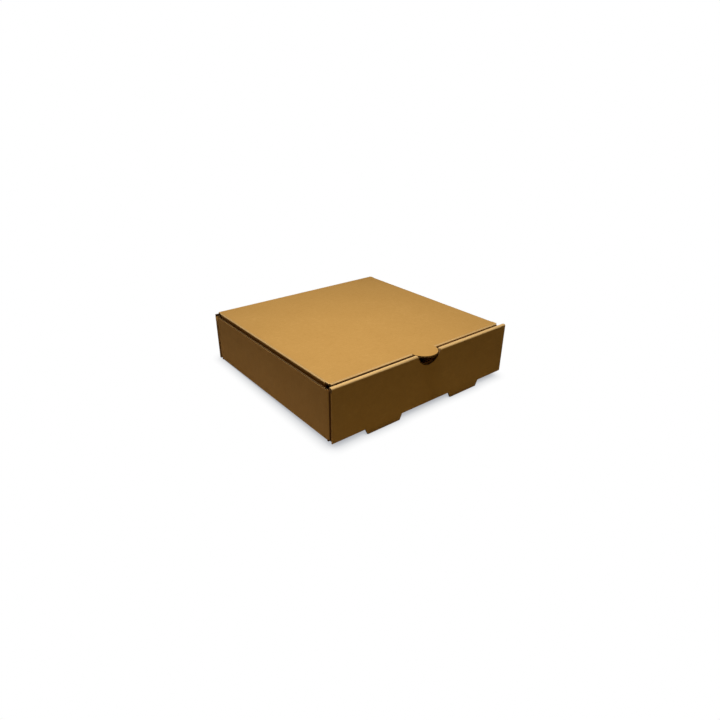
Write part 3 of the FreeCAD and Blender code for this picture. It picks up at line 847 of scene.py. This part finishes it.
def make_crease(material):
    """The bent board of the hinge fold, a strip that joins the back wall to the lid."""
    ring = crease_profile()
    mesh = bmesh.new()
    columns = []
    for station in range(CREASE_STATIONS):
        across = -CREASE_HALF_LENGTH + 2 * CREASE_HALF_LENGTH * station / (CREASE_STATIONS - 1)
        columns.append([mesh.verts.new((across * MM, y * MM, z * MM)) for y, z in ring])
    count = len(ring)
    for left, right in zip(columns, columns[1:]):
        for index in range(count):
            after = (index + 1) % count
            mesh.faces.new((left[index], left[after], right[after], right[index]))
    mesh.faces.new(columns[0][::-1])
    mesh.faces.new(columns[-1])
    bmesh.ops.recalc_face_normals(mesh, faces=mesh.faces)
    data = bpy.data.meshes.new("back_crease")
    mesh.to_mesh(data)
    mesh.free()
    place = data.attributes.new("rest_place", "FLOAT_VECTOR", "POINT")
    normal = data.attributes.new("rest_normal", "FLOAT_VECTOR", "POINT")
    for index, vertex in enumerate(data.vertices):
        place.data[index].vector = vertex.co
        below_fold = vertex.co.z < (LID_TOP - FOLD_RADIUS / 3) * MM
        on_wall = below_fold and vertex.co.y > (HALF_DEPTH - BOARD - 2 * HAIR) * MM
        normal.data[index].vector = Y if on_wall else Z
    for polygon in data.polygons:
        polygon.use_smooth = True
    data.set_sharp_from_angle(angle=CREASE_SHARP)
    data.materials.append(material)
    crease = bpy.data.objects.new("back_crease", data)
    bpy.context.scene.collection.objects.link(crease)
    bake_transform(crease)


def seen_directly(tree):
    """1 for rays from the camera, in reflections and through glass, else 0."""
    path = tree.node("ShaderNodeLightPath").outputs
    seen = tree.math("MAXIMUM", path["Is Camera Ray"], path["Is Glossy Ray"])
    return tree.math("MAXIMUM", seen, path["Is Transmission Ray"])


def make_floor():
    """White ground with the box's soft shadow. What it throws back at the box is dimmer."""
    size = FLOOR_HALF
    corners = [(-size, -size, 0), (size, -size, 0), (size, size, 0), (-size, size, 0)]
    data = bpy.data.meshes.new("floor")
    data.from_pydata(corners, [], [(0, 1, 2, 3)])
    floor = bpy.data.objects.new("floor", data)
    hinge = Vector((0, FOOT_BACK * MM, -FOOT_DROP * MM))
    floor.matrix_world = Matrix.Translation(hinge) @ Matrix.Rotation(FLOOR_SLOPE, 4, "X")
    bpy.context.scene.collection.objects.link(floor)

    material, tree = new_material("floor_white")
    near = tree.node("ShaderNodeAmbientOcclusion", {"samples": SHADOW_SAMPLES}, {"Distance": SHADOW_REACH})
    shade = tree.math("SUBTRACT", 1.0, near.outputs["AO"])
    shade = tree.math("MULTIPLY", tree.math("POWER", shade, SHADOW_FALLOFF), SHADOW_DEPTH)
    white = tree.mix_colour(shade, (1, 1, 1, 1), SHADOW_COLOUR)
    glow = tree.node("ShaderNodeEmission", values={"Color": white, "Strength": 1.0})
    x, y, z = tree.split(tree.node("ShaderNodeTexCoord").outputs["Object"])
    beside = tree.ramp(tree.math("SUBTRACT", y, x), *BOUNCE_TURN)
    bounce = tree.mix_colour(beside, BOUNCE_IN_FRONT, BOUNCE_BESIDE)
    dull = tree.node("ShaderNodeBsdfDiffuse", values={"Color": bounce})
    tree.show(tree.mix_shader(seen_directly(tree), dull.outputs[0], glow.outputs[0]))
    data.materials.append(material)


def make_world():
    world = bpy.data.worlds.new("studio")
    world.use_nodes = True
    world.node_tree.nodes.clear()
    tree = Tree(world.node_tree)
    seen = tree.node("ShaderNodeBackground", values={"Color": (1, 1, 1, 1), "Strength": 1.0})
    fill = tree.node("ShaderNodeBackground", values={"Color": WORLD_FILL, "Strength": 1.0})
    mixed = tree.mix_shader(seen_directly(tree), fill.outputs[0], seen.outputs[0])
    tree.show(mixed, "ShaderNodeOutputWorld")
    bpy.context.scene.world = world


def make_lamp():
    light = bpy.data.lights.new("key", "AREA")
    light.shape = "DISK"
    light.size = LAMP_SIZE
    light.energy = LAMP_POWER
    lamp = bpy.data.objects.new("key", light)
    lamp.location = LAMP_PLACE
    lamp.rotation_euler = (Vector(LAMP_AIM) - Vector(LAMP_PLACE)).to_track_quat("-Z", "Y").to_euler()
    lamp.visible_camera = False
    bpy.context.scene.collection.objects.link(lamp)


bpy.context.scene.view_settings.view_transform = "Standard"
make_camera()
make_world()
make_lamp()
make_floor()

edge_paper = torn_paper_material("cut_edge_paper", EDGE_PAPER, EDGE_SHADE, pressed_ends_and_shade=True)
core_paper = torn_paper_material("flute_paper", CORE_PAPER, CORE_SHADE)
for node_name, node_folds, gap_shade in (("tray", TRAY_FOLDS, 0.0), ("lid", LID_FOLDS, GAP_SHADE)):
    node = frame["nodes"][node_name]
    node.data.materials.clear()
    node.data.materials.append(board_material(node_name + "_board", node_folds, gap_shade))
    mark_cut_edges(node, edge_paper)
cut_tray(frame["nodes"]["tray"], core_paper)
cut_lid(frame["nodes"]["lid"], core_paper)
make_crease(board_material("crease_board", LID_FOLDS, rest_attribute=True))

bpy.context.view_layer.update()
